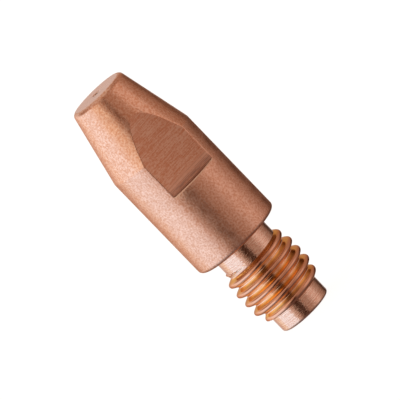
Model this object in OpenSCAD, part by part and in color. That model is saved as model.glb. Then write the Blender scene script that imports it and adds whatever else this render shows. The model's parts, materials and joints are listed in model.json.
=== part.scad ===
// Contact tip of a wire-feed welding torch: one copper piece, turned, milled and threaded.
// It stands on its rear end at z = 0, with the wire running up +Z and out of the nose.

/* [Nose] */
// Diameter at which the cone line meets the nose face
nose_d = 6.4; // [5.2:0.1:7.6]
// Rounding between the nose face and the cone
nose_round = 0.5; // [0.2:0.05:0.8]
// Length of the cone
cone_len = 7.95; // [5:0.05:11]

/* [Body] */
// Diameter of the straight body
body_d = 10; // [9:0.1:12]
// Length of the straight body, up to the start of the cone
body_len = 12.55; // [9:0.05:18]
// Rounding of the shoulder's outer edge
shoulder_round = 0.45; // [0.2:0.05:1]

/* [Wrench flats] */
// Width across the two flats
across_flats = 8.1; // [7.4:0.1:8.8]
// Length of straight body left whole behind the flats
flat_land = 8.05; // [3:0.05:8.6]
// Corner radius that the cutter leaves at the end of a flat
flat_corner = 0.2; // [0.1:0.05:0.5]

/* [Neck] */
// Diameter of the plain neck under the shoulder
neck_d = 6.35; // [5.6:0.05:6.4]
// Length of the neck, from the shoulder to the thread
neck_len = 1.75; // [0.8:0.05:3]
// Corner radius where the neck meets the shoulder
neck_corner = 0.3; // [0.05:0.05:0.5]

/* [Thread] */
// Outside diameter over the crests
thread_d = 8; // [7.7:0.02:8.2]
// Root diameter
root_d = 6.5; // [6.46:0.02:6.7]
// Distance from crest to crest
pitch = 1.25; // [1:0.05:1.5]
// Length of the threaded stretch
thread_len = 6.3; // [4:0.1:10]
// Length over which the thread rises from nothing at each end
thread_run = 1.2; // [0.5:0.1:1.9]
// Angle about the axis at which a crest leaves the lower end of the thread
thread_start = 143; // [0:1:359]

/* [Pilot] */
// Diameter of the plain pilot below the thread
pilot_d = 6; // [5:0.05:6.2]
// Length of the pilot
pilot_len = 2; // [1:0.1:4]
// Rounding of the pilot's end
pilot_round = 0.3; // [0.1:0.05:0.6]

/* [Wire passage] */
// Diameter of the wire bore
bore_d = 0.9; // [0.7:0.05:1.6]
// Mouth diameter of the entry funnel in the rear end
funnel_d = 2.6; // [1.8:0.1:4]
// Full angle of the entry funnel
funnel_angle = 60; // [40:5:90]

/* [Hidden] */
$fn = 128;
cut_margin = 1;
arc_steps = 6;
thread_sides = 36;
rows_per_pitch = 8;

neck_z = pilot_len + thread_len;
shoulder_z = neck_z + neck_len;
cone_z = shoulder_z + body_len;
nose_z = cone_z + cone_len;
flat_z = shoulder_z + flat_land;
cone_angle = atan((body_d - nose_d) / 2 / cone_len);
funnel_depth = (funnel_d - bore_d) / 2 / tan(funnel_angle / 2);
thread_rows = ceil(thread_len / pitch * rows_per_pitch);
copper = "#b8734f";

// Points of an arc about a centre, from one angle to another
function arc(centre, r, from, to) =
    [for (i = [0:arc_steps]) let (a = from + (to - from) * i / arc_steps) centre + r * [cos(a), sin(a)]];

// Height of the thread, as a share of the full one: it eases in and out at the two ends
function thread_fade(z) = sin(90 * min(1, z / thread_run, (thread_len - z) / thread_run));

// Radius of the right-hand thread at an angle and a height: a round crest and a round root
function thread_r(a, z) =
    root_d / 2 + (thread_d - root_d) / 4 * thread_fade(z) * (1 + cos(360 * z / pitch - a + thread_start));

// Half section of the turned blank, as radius and height
module blank_section() {
    pilot_edge = [pilot_d / 2 - pilot_round, pilot_round];
    neck_edge = [neck_d / 2 + neck_corner, shoulder_z - neck_corner];
    shoulder_edge = [body_d / 2 - shoulder_round, shoulder_z + shoulder_round];
    nose_reach = nose_d / 2 + nose_round * (tan(cone_angle) - 1 / cos(cone_angle));
    nose_edge = [nose_reach, nose_z - nose_round];
    polygon(concat(
        [[0, 0]],
        arc(pilot_edge, pilot_round, -90, 0),
        [[pilot_d / 2, pilot_len + thread_len / 2], [neck_d / 2, pilot_len + thread_len / 2]],
        arc(neck_edge, neck_corner, 180, 90),
        arc(shoulder_edge, shoulder_round, -90, 0),
        [[body_d / 2, cone_z]],
        arc(nose_edge, nose_round, cone_angle, 90),
        [[0, nose_z]]
    ));
}

// Helical thread with its core, standing on z = 0
module thread_screw() {
    points = [
        for (row = [0:thread_rows], side = [0:thread_sides - 1])
            let (z = thread_len * row / thread_rows, a = 360 * side / thread_sides)
            [thread_r(a, z) * cos(a), thread_r(a, z) * sin(a), z]
    ];
    function at(row, side) = row * thread_sides + side % thread_sides;
    walls = [
        for (row = [0:thread_rows - 1], side = [0:thread_sides - 1], half = [0, 1])
            half == 0
                ? [at(row, side), at(row + 1, side), at(row + 1, side + 1)]
                : [at(row, side), at(row + 1, side + 1), at(row, side + 1)]
    ];
    lower_end = [for (side = [0:thread_sides - 1]) at(0, side)];
    upper_end = [for (side = [thread_sides - 1:-1:0]) at(thread_rows, side)];
    polyhedron(points, concat(walls, [lower_end, upper_end]), convexity = 10);
}

// Wire bore with its entry funnel
module wire_passage() {
    mouth_r = funnel_d / 2 + cut_margin * tan(funnel_angle / 2);
    rotate_extrude()
        polygon([
            [0, -cut_margin],
            [mouth_r, -cut_margin],
            [bore_d / 2, funnel_depth],
            [bore_d / 2, nose_z + cut_margin],
            [0, nose_z + cut_margin]
        ]);
}

// What the cutter takes away for one flat, on the -Y side, open towards the nose
module flat_cut() {
    face_y = across_flats / 2;
    outer_y = body_d / 2 + cut_margin;
    corner = [face_y + flat_corner, flat_z + flat_corner];
    rotate([90, 0, -90])
        linear_extrude(body_d + 2 * cut_margin, center = true)
            polygon(concat(
                [[outer_y, nose_z + cut_margin], [face_y, nose_z + cut_margin]],
                arc(corner, flat_corner, 180, 270),
                [[outer_y, flat_z]]
            ));
}

module contact_tip() {
    color(copper)
        difference() {
            union() {
                rotate_extrude()
                    blank_section();
                translate([0, 0, pilot_len])
                    thread_screw();
            }
            wire_passage();
            for (turn = [0, 180])
                rotate(turn)
                    flat_cut();
        }
}

contact_tip();
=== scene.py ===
import json
import math
import bmesh
import bpy
from mathutils import Matrix, Vector


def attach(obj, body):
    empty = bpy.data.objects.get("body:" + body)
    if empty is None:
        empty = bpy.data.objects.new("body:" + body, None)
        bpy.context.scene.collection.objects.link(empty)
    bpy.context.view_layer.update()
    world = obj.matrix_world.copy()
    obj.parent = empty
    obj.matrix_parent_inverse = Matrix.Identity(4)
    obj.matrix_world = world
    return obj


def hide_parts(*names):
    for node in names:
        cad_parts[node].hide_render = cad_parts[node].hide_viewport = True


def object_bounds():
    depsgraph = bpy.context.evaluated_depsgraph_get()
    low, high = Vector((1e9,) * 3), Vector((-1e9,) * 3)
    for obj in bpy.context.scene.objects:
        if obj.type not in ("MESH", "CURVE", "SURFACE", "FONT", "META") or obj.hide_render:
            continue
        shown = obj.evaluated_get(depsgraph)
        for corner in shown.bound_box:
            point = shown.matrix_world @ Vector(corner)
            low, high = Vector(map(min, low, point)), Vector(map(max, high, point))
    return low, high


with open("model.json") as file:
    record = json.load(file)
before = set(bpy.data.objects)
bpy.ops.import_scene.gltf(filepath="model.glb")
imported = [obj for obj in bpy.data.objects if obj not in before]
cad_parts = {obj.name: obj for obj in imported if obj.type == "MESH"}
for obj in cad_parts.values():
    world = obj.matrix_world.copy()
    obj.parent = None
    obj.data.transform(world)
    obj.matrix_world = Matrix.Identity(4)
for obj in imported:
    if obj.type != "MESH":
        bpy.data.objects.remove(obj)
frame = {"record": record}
cadLow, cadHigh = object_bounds()
mm = 0.001  # the tip is modelled in millimetres and made metres at the end
mergeGap = 1e-4  # points closer than this are one point
mounts = {mount["name"]: mount for mount in frame["record"]["mounts"]}
print("frame loaded, CAD box", tuple(cadLow), tuple(cadHigh))


# Camera: the tip stands upright, and the camera is rolled so that the nose points up left
view = {
    "azimuth": -16,  # degrees, seen from a little left of the front flat
    "elevation": 9.4,
    "roll": -43.99,
    "distance": 0.8,
    "lens": 722.5,
    "sensor": 36,
    "nearClip": 0.05,
    "aimHeight": 15.8 * mm,
    "aimRight": 0.219 * mm,  # the photo's framing, a little off the middle
    "aimUp": -0.12 * mm,
}


def viewDirection(azimuth, elevation):
    turn, lift = math.radians(azimuth), math.radians(elevation)
    return Vector((math.sin(turn) * math.cos(lift), -math.cos(turn) * math.cos(lift), math.sin(lift)))


def placeCamera():
    back = viewDirection(view["azimuth"], view["elevation"])
    level = (-back).to_track_quat("-Z", "Y").to_matrix()
    rolledView = level @ Matrix.Rotation(math.radians(view["roll"]), 3, "Z")
    aim = Vector((0, 0, view["aimHeight"]))
    aim += rolledView @ Vector((view["aimRight"], view["aimUp"], 0))
    bpy.ops.object.camera_add(location=aim + back * view["distance"], rotation=rolledView.to_euler())
    camera = bpy.context.object
    camera.name = "photoCamera"
    camera.data.lens = view["lens"]
    camera.data.sensor_width = view["sensor"]
    camera.data.clip_start = view["nearClip"]
    bpy.context.scene.camera = camera


bpy.ops.object.select_all(action="DESELECT")
placeCamera()
print("camera placed")


# Helpers for modelling by selection
def editMode():
    bpy.ops.object.mode_set(mode="EDIT")


def objectMode():
    bpy.ops.object.mode_set(mode="OBJECT")


def makeActive(piece):
    bpy.ops.object.select_all(action="DESELECT")
    piece.select_set(True)
    bpy.context.view_layer.objects.active = piece


def pick(kind, test):
    # selects the points, edges or faces that pass the test, and nothing else
    bpy.ops.mesh.select_mode(type=kind)
    bpy.ops.mesh.select_all(action="DESELECT")
    mesh = bpy.context.object.data
    edit = bmesh.from_edit_mesh(mesh)
    for element in {"VERT": edit.verts, "EDGE": edit.edges, "FACE": edit.faces}[kind]:
        element.select_set(test(element))
    edit.select_flush_mode()
    bmesh.update_edit_mesh(mesh)


def near(*places):
    return lambda vert: any((vert.co - place).length < mergeGap for place in places)


def startOutline(name, place):
    bpy.ops.mesh.primitive_plane_add(size=1)
    bpy.context.object.name = name
    editMode()
    bpy.ops.mesh.select_mode(type="VERT")
    bpy.ops.mesh.select_all(action="SELECT")
    bpy.ops.mesh.merge(type="CENTER")  # the plane shrinks to one point, the start of the outline
    bpy.ops.transform.translate(value=place)
    return bpy.context.object


def drawOutline(name, corners, closed=False):
    # corners are (place, rounding, steps), drawn point by point and then rounded
    places = [Vector(corner[0]) for corner in corners]
    piece = startOutline(name, places[0])
    for here, there in zip(places, places[1:]):
        bpy.ops.mesh.extrude_vertices_move(TRANSFORM_OT_translate={"value": there - here})
    if closed:
        pick("VERT", near(places[0], places[-1]))
        bpy.ops.mesh.edge_face_add()
    for i, (_, rounding, steps) in enumerate(corners):
        if rounding:
            before = places[i] - places[i - 1]
            after = places[(i + 1) % len(places)] - places[i]
            reach = rounding * math.tan(before.angle(after) / 2)
            pick("VERT", near(places[i]))
            bpy.ops.mesh.bevel(offset=reach, segments=steps, affect="VERTICES", profile=0.5)
    return piece


def cleanUp():
    bpy.ops.mesh.select_mode(type="VERT")
    bpy.ops.mesh.select_all(action="SELECT")
    bpy.ops.mesh.remove_doubles(threshold=mergeGap)
    bpy.ops.mesh.normals_make_consistent(inside=False)


def spinOutline(name, corners, sides):
    piece = drawOutline(name, corners)
    bpy.ops.mesh.select_all(action="SELECT")
    bpy.ops.mesh.spin(steps=sides, angle=math.tau, center=(0, 0, 0), axis=(0, 0, 1))
    cleanUp()
    objectMode()
    return piece


def carve(piece, tool, operation):
    makeActive(piece)
    cut = piece.modifiers.new("carve", "BOOLEAN")
    cut.operation = operation
    cut.solver = "EXACT"
    cut.material_mode = "TRANSFER"
    cut.object = tool
    bpy.ops.object.modifier_apply(modifier=cut.name)
    bpy.data.objects.remove(tool)


def assignFinish(piece, finish, test):
    makeActive(piece)
    editMode()
    pick("FACE", test)
    piece.active_material_index = piece.data.materials.find(finish.name)
    bpy.ops.object.material_slot_assign()
    objectMode()


# Node helpers for the finishes
def feed(tree, socket, value):
    if isinstance(value, bpy.types.NodeSocket):
        tree.links.new(value, socket)
    elif socket.type == "RGBA":
        socket.default_value = (*value, 1)
    else:
        socket.default_value = value


def addNode(tree, kind, **inputs):
    node = tree.nodes.new(kind)
    for name, value in inputs.items():
        feed(tree, node.inputs[name], value)
    return node


def startFinish(name, edgeTint=(1.0, 1.0, 1.0)):
    # edgeTint is the colour of the metal seen at a low angle
    material = bpy.data.materials.new(name)
    material.use_nodes = True
    shader = material.node_tree.nodes["Principled BSDF"]
    shader.inputs["Metallic"].default_value = 1
    feed(material.node_tree, shader.inputs["Specular Tint"], edgeTint)
    return material, material.node_tree, shader


def inMillimetres(tree, stretch=(1, 1, 1)):
    place = tree.nodes.new("ShaderNodeTexCoord").outputs["Object"]
    scale = [share / mm for share in stretch]
    return addNode(tree, "ShaderNodeMapping", Vector=place, Scale=scale).outputs["Vector"]


def grain(tree, vector, perMillimetre, detail=2):
    node = addNode(tree, "ShaderNodeTexNoise", Vector=vector, Scale=perMillimetre, Detail=detail)
    return node.outputs["Fac"]


def ranged(tree, value, low, high, start=0.0, end=1.0):
    names = ("From Min", "From Max", "To Min", "To Max")
    limits = dict(zip(names, (low, high, start, end)))
    return addNode(tree, "ShaderNodeMapRange", Value=value, **limits).outputs["Result"]


def blended(tree, share, first, second):
    node = tree.nodes.new("ShaderNodeMix")
    node.data_type = "RGBA"
    for place, value in ((0, share), (6, first), (7, second)):  # a mix of colours has its sockets there
        feed(tree, node.inputs[place], value)
    return node.outputs[2]


def worked(tree, operation, first, second):
    node = tree.nodes.new("ShaderNodeMath")
    node.operation = operation
    feed(tree, node.inputs[0], first)
    feed(tree, node.inputs[1], second)
    return node.outputs["Value"]


def summed(tree, values, shares):
    total = 0
    for value, share in zip(values, shares):
        total = worked(tree, "ADD", worked(tree, "MULTIPLY", value, share), total)
    return total


def dented(tree, height, depth, under=None):
    node = addNode(tree, "ShaderNodeBump", Height=height, Distance=depth * mm)
    if under:
        tree.links.new(under, node.inputs["Normal"])
    return node.outputs["Normal"]


def fillRamp(tree, value, stops, interpolation):
    node = tree.nodes.new("ShaderNodeValToRGB")
    node.color_ramp.interpolation = interpolation
    marks = node.color_ramp.elements
    while len(marks) < len(stops):
        marks.new(0.5)
    for mark, (position, colour) in zip(marks, stops):
        mark.position = position
        mark.color = (*colour, 1)
    tree.links.new(value, node.inputs["Fac"])
    return node.outputs["Color"]


def dress(tree, shader, colour, roughness, normal):
    tree.links.new(colour, shader.inputs["Base Color"])
    tree.links.new(roughness, shader.inputs["Roughness"])
    tree.links.new(normal, shader.inputs["Normal"])


# Finishes: one function for each way the copper was worked
noiseSpan = (0.3, 0.7)  # where most of a noise texture lies, spread over a finish's roughness
grainMix = {  # shared by the grained finishes
    "patches": 0.9,
    "shares": (0.93, 0.07),  # of the grain and the patches in the colour
    "contrast": (0.37, 0.63),
}
blastedLook = {  # body: a fine matt grain with mottling
    "light": (1.0, 0.72, 0.62),
    "dark": (0.79, 0.45, 0.32),
    "edgeTint": (0.7, 0.55, 0.45),
    "roughness": (0.30, 0.42),
    "grain": 5.4,
    "depth": 0.022,
}
conedLook = {  # cone: the same grain, a little smoother and warmer
    "light": (1.0, 0.69, 0.56),
    "dark": (0.79, 0.42, 0.28),
    "edgeTint": (0.9, 0.75, 0.65),
    "roughness": (0.22, 0.32),
    "grain": 5.0,
    "depth": 0.013,
}
paintedEdgeHighlightLook = {  # rounded edge of the flats' end wall: a painted highlight line, pale, and rough so that it catches light from all sides
    "light": (1.0, 0.86, 0.74),
    "dark": (0.98, 0.78, 0.64),
    "edgeTint": (1.0, 1.0, 1.0),
    "roughness": (0.45, 0.55),
    "grain": 4.6,
    "depth": 0.002,
}


def grainedFinish(name, look):
    material, tree, shader = startFinish(name, look["edgeTint"])
    place = inMillimetres(tree)
    fine = grain(tree, place, look["grain"], detail=3)
    patches = grain(tree, place, grainMix["patches"])
    both = summed(tree, (fine, patches), grainMix["shares"])
    colour = blended(tree, ranged(tree, both, *grainMix["contrast"]), look["dark"], look["light"])
    roughness = ranged(tree, patches, *noiseSpan, *look["roughness"])
    dress(tree, shader, colour, roughness, dented(tree, fine, look["depth"]))
    return material


milledLook = {  # flats: fine lines along the end wall, and the cutter's last marks just above it, with painted shade in the corner at the wall's foot and painted reflections in the marks' light and dark stripes
    "light": (0.98, 0.68, 0.56),
    "dark": (0.82, 0.42, 0.28),
    "roughness": (0.34, 0.46),
    "lines": 10,
    "lineStretch": (0.09, 0.09, 1),
    "patches": 1.1,
    "grain": 6,
    "shares": (0.5, 0.1, 0.4),  # of the lines, the patches and the grain in the colour
    "contrast": (0.42, 0.58),
    "depth": 0.009,
    "markReach": 1.3,
    "markFade": (1.0, 0.8),  # shares of the reach between which the marks fade in
    "markFoot": (0.10, 0.06),  # and below which they are whole, over the painted shade at the wall's foot
    "breaks": 2.2,  # further up a coarse noise breaks them
    "breakStretch": (0.5, 1, 3),
    "breakSpan": (0.40, 0.56),
    "breakShares": (0.4, 1.0),
    "marks": [  # share of the reach above the wall, colour: painted shade at the foot, then the marks' stripes as painted reflections
        (0.0, (0.42, 0.25, 0.20)),
        (0.07, (0.46, 0.27, 0.21)),
        (0.11, (0.80, 0.50, 0.40)),
        (0.16, (0.48, 0.32, 0.27)),
        (0.22, (0.66, 0.43, 0.36)),
        (0.27, (0.50, 0.33, 0.29)),
        (0.33, (0.78, 0.52, 0.44)),
        (0.38, (0.58, 0.37, 0.31)),
        (0.44, (0.92, 0.62, 0.52)),
        (0.50, (0.68, 0.43, 0.34)),
        (0.56, (0.95, 0.66, 0.56)),
        (0.68, (0.92, 0.62, 0.50)),
        (0.73, (0.72, 0.44, 0.34)),
        (0.80, (0.92, 0.58, 0.46)),
    ],
}


def milledFinish():
    look = milledLook
    material, tree, shader = startFinish("milledCopper")
    lines = grain(tree, inMillimetres(tree, look["lineStretch"]), look["lines"])
    place = inMillimetres(tree)
    patches = grain(tree, place, look["patches"], detail=3)
    fine = grain(tree, place, look["grain"])
    mixed = summed(tree, (lines, patches, fine), look["shares"])
    colour = blended(tree, ranged(tree, mixed, *look["contrast"]), look["dark"], look["light"])
    height = addNode(tree, "ShaderNodeSeparateXYZ", Vector=place).outputs["Z"]
    above = ranged(tree, height, flats["wall"], flats["wall"] + look["markReach"])
    # the marks' colours: painted shade at the wall's foot and painted reflections in the stripes
    marks = fillRamp(tree, above, look["marks"], "LINEAR")
    reached = ranged(tree, above, *look["markFade"])
    foot = ranged(tree, above, *look["markFoot"])
    ragged = grain(tree, inMillimetres(tree, look["breakStretch"]), look["breaks"], detail=3)
    broken = ranged(tree, ragged, *look["breakSpan"], *look["breakShares"])
    share = worked(tree, "MULTIPLY", reached, worked(tree, "MAXIMUM", foot, broken))
    colour = blended(tree, share, colour, marks)
    roughness = ranged(tree, patches, *noiseSpan, *look["roughness"])
    normal = dented(tree, fine, look["depth"] / 2, dented(tree, lines, look["depth"]))
    dress(tree, shader, colour, roughness, normal)
    return material


linedMix = {  # shared by the lined finishes
    "grain": 4,
    "grainStretch": (1, 1, 2.5),
    "grainDepth": 3,  # times the depth of the lines
    "shares": (0.5, 0.5),  # of the lines and the grain in the colour
    "contrast": (0.43, 0.57),
}
turnedLook = {  # neck, pilot and wire passage: bright, with fine lines round the axis
    "light": (0.97, 0.78, 0.70),
    "dark": (0.82, 0.53, 0.43),
    "roughness": (0.06, 0.13),
    "lines": 9,
    "depth": 0.008,
}
facedLook = {  # nose face
    "light": (0.95, 0.64, 0.53),
    "dark": (0.90, 0.57, 0.45),
    "roughness": (0.26, 0.34),
    "lines": 8,
    "depth": 0.001,
}


def linedFinish(name, look):
    # lines round the axis: the height and the radius together, so that end faces have rings
    material, tree, shader = startFinish(name)
    height = addNode(tree, "ShaderNodeSeparateXYZ", Vector=inMillimetres(tree)).outputs["Z"]
    across = addNode(tree, "ShaderNodeVectorMath", Vector=inMillimetres(tree, (1, 1, 0)))
    across.operation = "LENGTH"
    along = worked(tree, "ADD", height, across.outputs["Value"])
    noise = addNode(tree, "ShaderNodeTexNoise", Scale=look["lines"], Detail=3)
    noise.noise_dimensions = "1D"
    tree.links.new(along, noise.inputs["W"])
    lines = noise.outputs["Fac"]
    fine = grain(tree, inMillimetres(tree, linedMix["grainStretch"]), linedMix["grain"])
    both = summed(tree, (lines, fine), linedMix["shares"])
    colour = blended(tree, ranged(tree, both, *linedMix["contrast"]), look["dark"], look["light"])
    roughness = ranged(tree, fine, *noiseSpan, *look["roughness"])
    grooved = dented(tree, lines, look["depth"])
    normal = dented(tree, fine, look["depth"] * linedMix["grainDepth"], grooved)
    dress(tree, shader, colour, roughness, normal)
    return material


rolledLook = {  # thread: painted reflections, amber on the flanks for light bounced between the turns, a pale painted highlight in the roots, and copper on the crests
    "edgeTint": (0.8, 0.55, 0.4),
    "paintedLightBands": [  # share of a turn from the crest towards the nose, up to the next crest, and colour: amber painted reflections on the flank, a pale painted highlight at the root
        (0.0, (0.84, 0.50, 0.38)),
        (0.12, (0.88, 0.52, 0.38)),
        (0.20, (0.94, 0.55, 0.33)),
        (0.27, (1.0, 0.60, 0.24)),
        (0.39, (1.0, 0.62, 0.22)),
        (0.44, (0.96, 0.58, 0.36)),
        (0.48, (1.0, 0.85, 0.76)),
        (0.68, (1.0, 0.86, 0.77)),
        (0.82, (0.96, 0.68, 0.55)),
        (0.94, (0.84, 0.50, 0.38)),
    ],
    "roughness": (0.10, 0.20),
    "grain": 4,
    "depth": 0.0014,
}


def rolledFinish():
    look = rolledLook
    material, tree, shader = startFinish("rolledCopper", look["edgeTint"])
    place = inMillimetres(tree)
    axes = addNode(tree, "ShaderNodeSeparateXYZ", Vector=place)
    angle = worked(tree, "ARCTAN2", axes.outputs["Y"], axes.outputs["X"])
    height = worked(tree, "SUBTRACT", axes.outputs["Z"], thread["crestHeight"])
    turns = worked(tree, "SUBTRACT", worked(tree, "DIVIDE", height, thread["pitch"]),
                   worked(tree, "DIVIDE", angle, math.tau))
    phase = worked(tree, "WRAP", turns, 1)
    phase.node.inputs[2].default_value = 0  # it wraps from 0 to 1
    fine = grain(tree, place, look["grain"], detail=3)
    # the colour follows the turn: painted reflections on the flanks and a painted highlight in the roots
    colour = fillRamp(tree, phase, look["paintedLightBands"], "EASE")
    roughness = ranged(tree, fine, *noiseSpan, *look["roughness"])
    dress(tree, shader, colour, roughness, dented(tree, fine, look["depth"]))
    return material


# Blank: the turned piece, spun from a half section
tip = {
    "length": cadHigh.z / mm,
    "bodyRadius": cadHigh.y / mm,
    "pilotRadius": mounts["rear_pilot"]["dims"]["r_mm"],
    "boreRadius": mounts["wire_bore"]["dims"]["r_mm"],
    "shoulder": mounts["shoulder_seat"]["pos_m"][2] / mm,
    "neckRadius": 3.175,
    "coneStart": 22.6,
    "noseRadius": 3.2,
    "funnelRadius": 1.3,
    "funnelDepth": 1.472,
    "pilotRound": (0.3, 8),  # radius and steps, as down to the bore's edge
    "neckCorner": (0.3, 8),
    "shoulderRound": (0.45, 12),
    "coneRound": (0.6, 3),
    "noseRound": (0.5, 10),
    "funnelCorner": (0.3, 3),
    "boreEdge": (0.12, 4),
    "rows": 12,  # of faces along a straight stretch
    "coneRows": 8,
    "sides": 200,
    "boreSides": 64,
    "smoothAngle": 35,
}
cutMargin = 1  # how far a cutter reaches past the tip
blasted = grainedFinish("blastedCopper", blastedLook)
coned = grainedFinish("conedCopper", conedLook)
# the end wall's rounded edge gets a painted highlight, pale rather than copper
paintedEdgeHighlight = grainedFinish("paintedEdgeHighlightCopper", paintedEdgeHighlightLook)
turned = linedFinish("turnedCopper", turnedLook)
faced = linedFinish("facedCopper", facedLook)


def between(start, end, count):
    # plain points on a straight stretch of an outline, so that its faces stay short
    start, end = Vector(start), Vector(end)
    return [(tuple(start.lerp(end, i / count)), 0, 0) for i in range(1, count)]


def spinBlank():
    end = (tip["pilotRadius"], 0, 0)
    step = (tip["pilotRadius"], 0, thread["middle"])
    core = (tip["neckRadius"], 0, thread["middle"])
    seat = (tip["neckRadius"], 0, tip["shoulder"])
    foot = (tip["bodyRadius"], 0, tip["shoulder"])
    bend = (tip["bodyRadius"], 0, tip["coneStart"])
    crown = (tip["noseRadius"], 0, tip["length"])
    corners = [
        ((0, 0, 0), 0, 0),
        (end, *tip["pilotRound"]),
        *between(end, step, tip["rows"]),
        (step, 0, 0),
        (core, 0, 0),
        *between(core, seat, tip["rows"]),
        (seat, *tip["neckCorner"]),
        (foot, *tip["shoulderRound"]),
        *between(foot, bend, tip["rows"]),
        (bend, *tip["coneRound"]),
        *between(bend, crown, tip["coneRows"]),
        (crown, *tip["noseRound"]),
        ((0, 0, tip["length"]), 0, 0),
    ]
    blank = spinOutline("contactTip", corners, tip["sides"])
    for finish in (blasted, turned, faced, coned, paintedEdgeHighlight):
        blank.data.materials.append(finish)
    return blank


def passageDrill():
    bore, top = tip["boreRadius"], tip["length"] + cutMargin
    flare = (tip["funnelRadius"] - bore) / tip["funnelDepth"]
    corners = [
        ((0, 0, -cutMargin), 0, 0),
        ((tip["funnelRadius"] + flare * cutMargin, 0, -cutMargin), 0, 0),
        ((bore, 0, tip["funnelDepth"]), *tip["funnelCorner"]),
        ((bore, 0, top), 0, 0),
        ((0, 0, top), 0, 0),
    ]
    drill = spinOutline("passageDrill", corners, tip["boreSides"])
    drill.data.materials.append(turned)
    return drill


# Thread: one turn of the profile, wound up the axis and sunk at its two ends
thread = {
    "middle": mounts["holder_thread"]["pos_m"][2] / mm,
    "length": mounts["holder_thread"]["dims"]["length_mm"],
    "crestRadius": mounts["holder_thread"]["dims"]["r_mm"],
    "wave": (0.395, -0.055, -0.006),  # cosine terms of the profile: broad crests and narrow roots
    "pitch": 1.25,
    "crestHeight": 5.255,  # height of a crest on the +X side
    "turnsBelow": 4,  # the winding starts this far below it, under the thread's end
    "turns": 8,
    "steps": 28,  # points along one turn of the profile
    "sides": 128,
    "rearReach": 0.1,  # how far the last turn runs on over the pilot
    # distance of a crest from the thread's end, and its share of the full height
    "rearRise": [(-0.4, 0.41), (0.28, 0.62), (0.93, 0.79), (1.53, 1)],
    "neckRise": [(-0.4, 0.2), (0, 0.33), (0.6, 0.7), (1.26, 0.875), (1.86, 1)],
    "rootShare": 0.3,  # past this share of a turn from a crest, its height passes into the next one's
    "rootSlope": 1.5,
    "endSlope": 0.14,
    "tuck": 0.12,  # the ends sink this far under the pilot and the neck
}
rolled = rolledFinish()


def threadRadius(turn):
    # radius at a share of a turn from the crest
    fall = [term * (math.cos(math.tau * (i + 1) * turn) - 1) for i, term in enumerate(thread["wave"])]
    return thread["crestRadius"] + sum(fall)


def windThread():
    bottom = thread["crestHeight"] - thread["turnsBelow"] * thread["pitch"]
    corners = []
    for i in range(thread["steps"] + 1):
        turn = i / thread["steps"] - 0.5
        corners.append(((threadRadius(turn), 0, bottom + turn * thread["pitch"]), 0, 0))
    screw = drawOutline("threadScrew", corners)
    objectMode()
    wind = screw.modifiers.new("wind", "SCREW")
    wind.axis = "Z"
    wind.screw_offset = thread["pitch"]
    wind.iterations = thread["turns"]
    wind.steps = thread["sides"]
    wind.render_steps = thread["sides"]
    wind.use_merge_vertices = True
    wind.merge_threshold = mergeGap
    bpy.ops.object.modifier_apply(modifier=wind.name)
    low = thread["middle"] - thread["length"] / 2 - thread["rearReach"]
    high = thread["middle"] + thread["length"] / 2
    sinkEnd(screw, "rearEnd", low, 1, tip["pilotRadius"], thread["rearRise"])
    sinkEnd(screw, "neckEnd", high, -1, tip["neckRadius"], thread["neckRise"])
    trimEnds(low, high)
    screw.data.materials.append(rolled)
    return screw


def readTable(table, place):
    for (start, low), (end, high) in zip(table, table[1:]):
        if place <= end:
            return low + (high - low) * max(0, place - start) / (end - start)
    return table[-1][1]


def sinkEnd(screw, name, end, way, radius, rise):
    # the last turns shrink, each by its own height, to just under the plain part that they run into
    group = screw.vertex_groups.new(name=name)
    for vert in screw.data.vertices:
        angle = math.atan2(vert.co.y, vert.co.x)
        turns = (vert.co.z - thread["crestHeight"]) / thread["pitch"] - angle / math.tau
        off = turns - round(turns)
        if abs(off) > thread["rootShare"]:
            off = math.copysign(thread["rootSlope"] * (0.5 - abs(off)), off)
        crest = vert.co.z - off * thread["pitch"]
        height = readTable(rise, way * (crest - end))
        height *= min(1, max(0, way * (vert.co.z - end) / thread["endSlope"]))
        group.add([vert.index], 1 - height, "REPLACE")
    shrink = screw.modifiers.new(name, "CAST")
    shrink.cast_type = "CYLINDER"
    shrink.use_z = False
    shrink.factor = 1
    shrink.size = radius - thread["tuck"]
    shrink.use_radius_as_size = False
    shrink.vertex_group = name
    makeActive(screw)
    bpy.ops.object.modifier_apply(modifier=shrink.name)


def trimEnds(low, high):
    editMode()
    cleanUp()
    for height, above in ((low, False), (high, True)):
        bpy.ops.mesh.select_all(action="SELECT")
        bpy.ops.mesh.bisect(plane_co=(0, 0, height), plane_no=(0, 0, 1), use_fill=True,
                            clear_inner=not above, clear_outer=above)
    cleanUp()
    objectMode()


# Wrench flats: the cutter leaves a small corner and a few ridges at the end wall
flats = {
    "halfWidth": 4.0,
    "hollow": 0.012,  # the cutter leaves the flats a little lower along the middle
    "wall": 18.29,
    "wallGap": 0.01,  # how near the wall's height its edges and faces lie
    "corner": (0.06, 2),  # radius and steps
    "edge": 0.06,
    "wallEdge": 0.18,
    "edgeSteps": 4,
    "merge": 0.06,  # edges of the outline shorter than this would notch its rounding
    "strips": 24,
    "ridges": [(1.16, 0), (1.06, -0.016), (0.96, 0.004), (0.6, 0.016), (0.31, -0.008)],  # height, step
}
milled = milledFinish()
print("finishes ready")


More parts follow.
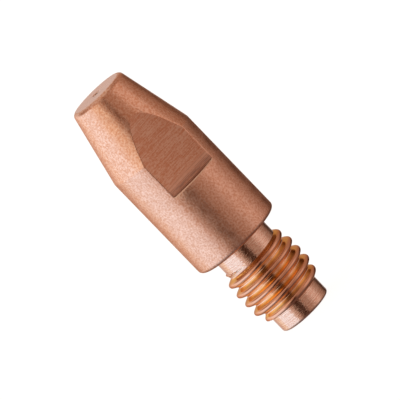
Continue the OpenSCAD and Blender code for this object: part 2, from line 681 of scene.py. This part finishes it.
def flatCutter(side):
    face, wall = flats["halfWidth"], flats["wall"]
    top = tip["length"] + cutMargin
    reach = tip["bodyRadius"] + cutMargin
    rise = flats["hollow"] * reach ** 2
    places = [(reach, top), (face, top)]
    places += [(face + step, wall + height) for height, step in flats["ridges"]]
    places += [(face, wall), (reach, wall)]
    corners = [((-reach, side * (y + rise), z), 0, 0) for y, z in places]
    corners[-2] = (corners[-2][0], *flats["corner"])
    cutter = drawOutline("flatCutter", corners, closed=True)
    bpy.ops.mesh.select_all(action="SELECT")
    bpy.ops.mesh.edge_face_add()
    across = [-reach + 2 * reach * i / flats["strips"] for i in range(flats["strips"] + 1)]
    for here, there in zip(across, across[1:]):
        climb = side * flats["hollow"] * (there ** 2 - here ** 2)
        bpy.ops.mesh.extrude_region_move(TRANSFORM_OT_translate={"value": (there - here, climb, 0)})
    cleanUp()
    objectMode()
    cutter.data.materials.append(milled)
    return cutter


def isOutline(edge, milledSlot):
    # between a milled face and one that isn't
    return len({face.material_index == milledSlot for face in edge.link_faces}) > 1


def edgeShare(edge, milledSlot):
    # the outlines of the flats are rounded, and the end wall's edge most where the wall is high
    if not isOutline(edge, milledSlot):
        return 0
    if any(abs(vert.co.z - flats["wall"]) >= flats["wallGap"] for vert in edge.verts):
        return flats["edge"] / flats["wallEdge"]
    middle = (edge.verts[0].co + edge.verts[1].co) / 2
    wallHeight = abs(middle.y) - flats["halfWidth"]
    return min(1, max(flats["edge"], wallHeight / 2) / flats["wallEdge"])


def breakEdges(piece):
    makeActive(piece)
    editMode()
    milledSlot = piece.data.materials.find(milled.name)
    clear = flats["wall"] + flats["wallEdge"]
    pick("EDGE", lambda edge: isOutline(edge, milledSlot) and min(vert.co.z for vert in edge.verts) > clear)
    bpy.ops.mesh.remove_doubles(threshold=flats["merge"])
    edit = bmesh.from_edit_mesh(piece.data)
    weights = edit.edges.layers.float.new("bevel_weight_edge")
    for edge in edit.edges:
        edge[weights] = edgeShare(edge, milledSlot)
    bmesh.update_edit_mesh(piece.data)
    objectMode()
    rounding = piece.modifiers.new("rounding", "BEVEL")
    rounding.limit_method = "WEIGHT"
    rounding.width = flats["wallEdge"]
    rounding.segments = flats["edgeSteps"]
    rounding.use_clamp_overlap = False
    bpy.ops.object.modifier_apply(modifier=rounding.name)


# Last work on the tip: the bore's rim, the shading and the hand-over to the frame
rimGap = 1e-3  # how near the rim its points lie


def isBoreRim(edge):
    places = [vert.co for vert in edge.verts]
    atNose = all(abs(place.z - tip["length"]) < rimGap for place in places)
    atBore = all(abs(place.xy.length - tip["boreRadius"]) < rimGap for place in places)
    return atNose and atBore


def breakBore(piece):
    makeActive(piece)
    editMode()
    pick("EDGE", isBoreRim)
    width, steps = tip["boreEdge"]
    bpy.ops.mesh.bevel(offset=width, segments=steps, affect="EDGES", profile=0.5)
    objectMode()


def finishTip(piece):
    makeActive(piece)
    editMode()
    cleanUp()
    bpy.ops.mesh.select_all(action="SELECT")
    bpy.ops.transform.resize(value=(mm, mm, mm), center_override=(0, 0, 0))
    objectMode()
    bpy.ops.object.shade_smooth_by_angle(angle=math.radians(tip["smoothAngle"]))
    even = piece.modifiers.new("even", "WEIGHTED_NORMAL")
    even.keep_sharp = True
    bpy.ops.object.modifier_apply(modifier=even.name)
    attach(piece, "root")
    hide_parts("contact_tip")


zones = {  # heights between the finishes
    "shank": tip["shoulder"] - 0.01,
    "cone": tip["coneStart"],
    "nose": tip["length"] - 0.001,
    "wallFoot": flats["wall"] - flats["wallEdge"] - flats["wallGap"],
    "wallTop": flats["wall"] + flats["wallGap"],
    "wallTilt": (0.2, 0.98),  # a rounded edge faces neither sideways nor straight up
}


def isWallEdge(face):
    steep, level = zones["wallTilt"]
    atWall = zones["wallFoot"] < face.calc_center_median().z < zones["wallTop"]
    return atWall and steep < face.normal.z < level


tipPiece = spinBlank()
assignFinish(tipPiece, turned, lambda face: face.calc_center_median().z < zones["shank"])
assignFinish(tipPiece, faced, lambda face: face.calc_center_median().z > zones["nose"])
assignFinish(tipPiece, coned, lambda face: zones["cone"] < face.calc_center_median().z < zones["nose"])
print("blank spun", len(tipPiece.data.polygons))
carve(tipPiece, windThread(), "UNION")
print("thread wound", len(tipPiece.data.polygons))
for side in (-1, 1):
    carve(tipPiece, flatCutter(side), "DIFFERENCE")
print("flats milled", len(tipPiece.data.polygons))
carve(tipPiece, passageDrill(), "DIFFERENCE")
print("wire passage drilled", len(tipPiece.data.polygons))
breakEdges(tipPiece)
# the rounded edge of the end wall takes the painted highlight
assignFinish(tipPiece, paintedEdgeHighlight, isWallEdge)
breakBore(tipPiece)
finishTip(tipPiece)
print("tip finished", len(tipPiece.data.polygons))


# Studio: a pale floor, and a tent of soft light that is seen only as reflections
studio = {
    "tentRadius": 0.7,
    "tentSegments": 96,
    "tentRows": 48,
    "roof": (0.60, 0.46, 0.37),
    "below": (0.12, 0.065, 0.05),
    "lowToHigh": (0.46, 0.62),  # shares of the tent's height over which one ring fades into the next
    "highToUpper": (0.64, 0.78),
    "belowToRoof": (0.49, 0.51),
    "floorSize": 40.0,
    "floorColour": (0.9, 0.9, 0.9),
    "floorGlow": 1.41,
    "floorGlowShare": 0.65,
}
panels = {  # light of each panel of the tent
    "white": (1.05, 1.05, 1.08),
    "pale": (0.98, 0.80, 0.62),
    "grey": (0.68, 0.59, 0.54),
    "warm": (0.70, 0.48, 0.38),
    "dim": (0.40, 0.24, 0.17),
    "dark": (0.05, 0.02, 0.01),
}
# Rings of panels, by the angle to the right of the camera: white on the left, warm on the right
lowRing = [  # at the tip's level and below, with a dark gap between the two sides
    (-180, "grey"), (-145, "warm"), (-120, "pale"), (-100, "white"), (-50, "white"), (-40, "warm"),
    (-27, "dim"), (-15, "dark"), (2, "dark"), (16, "dim"), (34, "dim"), (60, "warm"), (75, "warm"),
    (100, "dim"), (145, "dark"), (180, "grey"),
]
highRing = [  # a little above it, where the gap is narrow
    (-180, "grey"), (-145, "white"), (-70, "white"), (-45, "pale"), (-24, "pale"), (-8, "dim"),
    (0, "dark"), (14, "dim"), (34, "dim"), (58, "warm"), (78, "warm"), (105, "dim"), (150, "dim"),
    (180, "grey"),
]
upperRing = [  # well above it
    (-180, "grey"), (-110, "dim"), (-55, "warm"), (-10, "dim"), (150, "dim"), (180, "grey"),
]
# Angle above the tip's level, and the share of the rings in the light there
levelStops = [(-90, 0), (-60, 0.1), (-35, 0.45), (-15, 0.97), (0, 1), (50, 1), (70, 0)]


def tentLight():
    # the rings run round the tent at the tip's level, and fade to plain light above and below
    material = bpy.data.materials.new("tentLight")
    material.use_nodes = True
    tree = material.node_tree
    tree.nodes.clear()
    place = tree.nodes.new("ShaderNodeTexCoord").outputs["Object"]
    turn = addNode(tree, "ShaderNodeMapping", Vector=place)
    turn.inputs["Rotation"].default_value[2] = math.radians(90 - view["azimuth"])
    around = addNode(tree, "ShaderNodeTexGradient", Vector=turn.outputs["Vector"])
    around.gradient_type = "RADIAL"
    rings = []
    for ring in (lowRing, highRing, upperRing):
        stops = [(0.5 + angle / 360, panels[panel]) for angle, panel in ring]
        rings.append(fillRamp(tree, around.outputs["Fac"], stops, "EASE"))
    height = addNode(tree, "ShaderNodeSeparateXYZ", Vector=place).outputs["Z"]
    level = ranged(tree, height, -studio["tentRadius"], studio["tentRadius"])
    sides = blended(tree, ranged(tree, level, *studio["lowToHigh"]), rings[0], rings[1])
    sides = blended(tree, ranged(tree, level, *studio["highToUpper"]), sides, rings[2])
    stops = [(0.5 + math.sin(math.radians(angle)) / 2, (share,) * 3) for angle, share in levelStops]
    share = fillRamp(tree, level, stops, "LINEAR")
    ends = blended(tree, ranged(tree, level, *studio["belowToRoof"]), studio["below"], studio["roof"])
    light = addNode(tree, "ShaderNodeEmission", Color=blended(tree, share, ends, sides))
    output = tree.nodes.new("ShaderNodeOutputMaterial")
    tree.links.new(light.outputs["Emission"], output.inputs["Surface"])
    return material


def raiseTent():
    middle = tip["length"] / 2 * mm
    bpy.ops.mesh.primitive_uv_sphere_add(segments=studio["tentSegments"], ring_count=studio["tentRows"],
                                         radius=studio["tentRadius"], location=(0, 0, middle))
    tent = bpy.context.object
    tent.name = "lightTent"
    tent.data.materials.append(tentLight())
    tent.visible_camera = False


def layFloor():
    bpy.ops.mesh.primitive_plane_add(size=studio["floorSize"])
    floor = bpy.context.object
    floor.name = "paleFloor"
    material = bpy.data.materials.new("paleFloor")
    material.use_nodes = True
    tree = material.node_tree
    tree.nodes.clear()
    matte = addNode(tree, "ShaderNodeBsdfDiffuse", Color=studio["floorColour"])
    glow = addNode(tree, "ShaderNodeEmission", Strength=studio["floorGlow"])
    both = addNode(tree, "ShaderNodeMixShader", Fac=studio["floorGlowShare"])
    output = tree.nodes.new("ShaderNodeOutputMaterial")
    tree.links.new(matte.outputs["BSDF"], both.inputs[1])
    tree.links.new(glow.outputs["Emission"], both.inputs[2])
    tree.links.new(both.outputs["Shader"], output.inputs["Surface"])
    floor.data.materials.append(material)
    floor.visible_glossy = False  # the tent shows in the metal, not the floor
    floor.visible_shadow = False


def whiteWorld():
    world = bpy.data.worlds.new("whiteWorld")
    bpy.context.scene.world = world
    world.use_nodes = True
    backdrop = world.node_tree.nodes["Background"]
    backdrop.inputs["Color"].default_value = (1, 1, 1, 1)
    backdrop.inputs["Strength"].default_value = 1


bpy.ops.object.select_all(action="DESELECT")
raiseTent()
layFloor()
whiteWorld()
bpy.context.scene.view_settings.view_transform = "Standard"
print("studio lit")
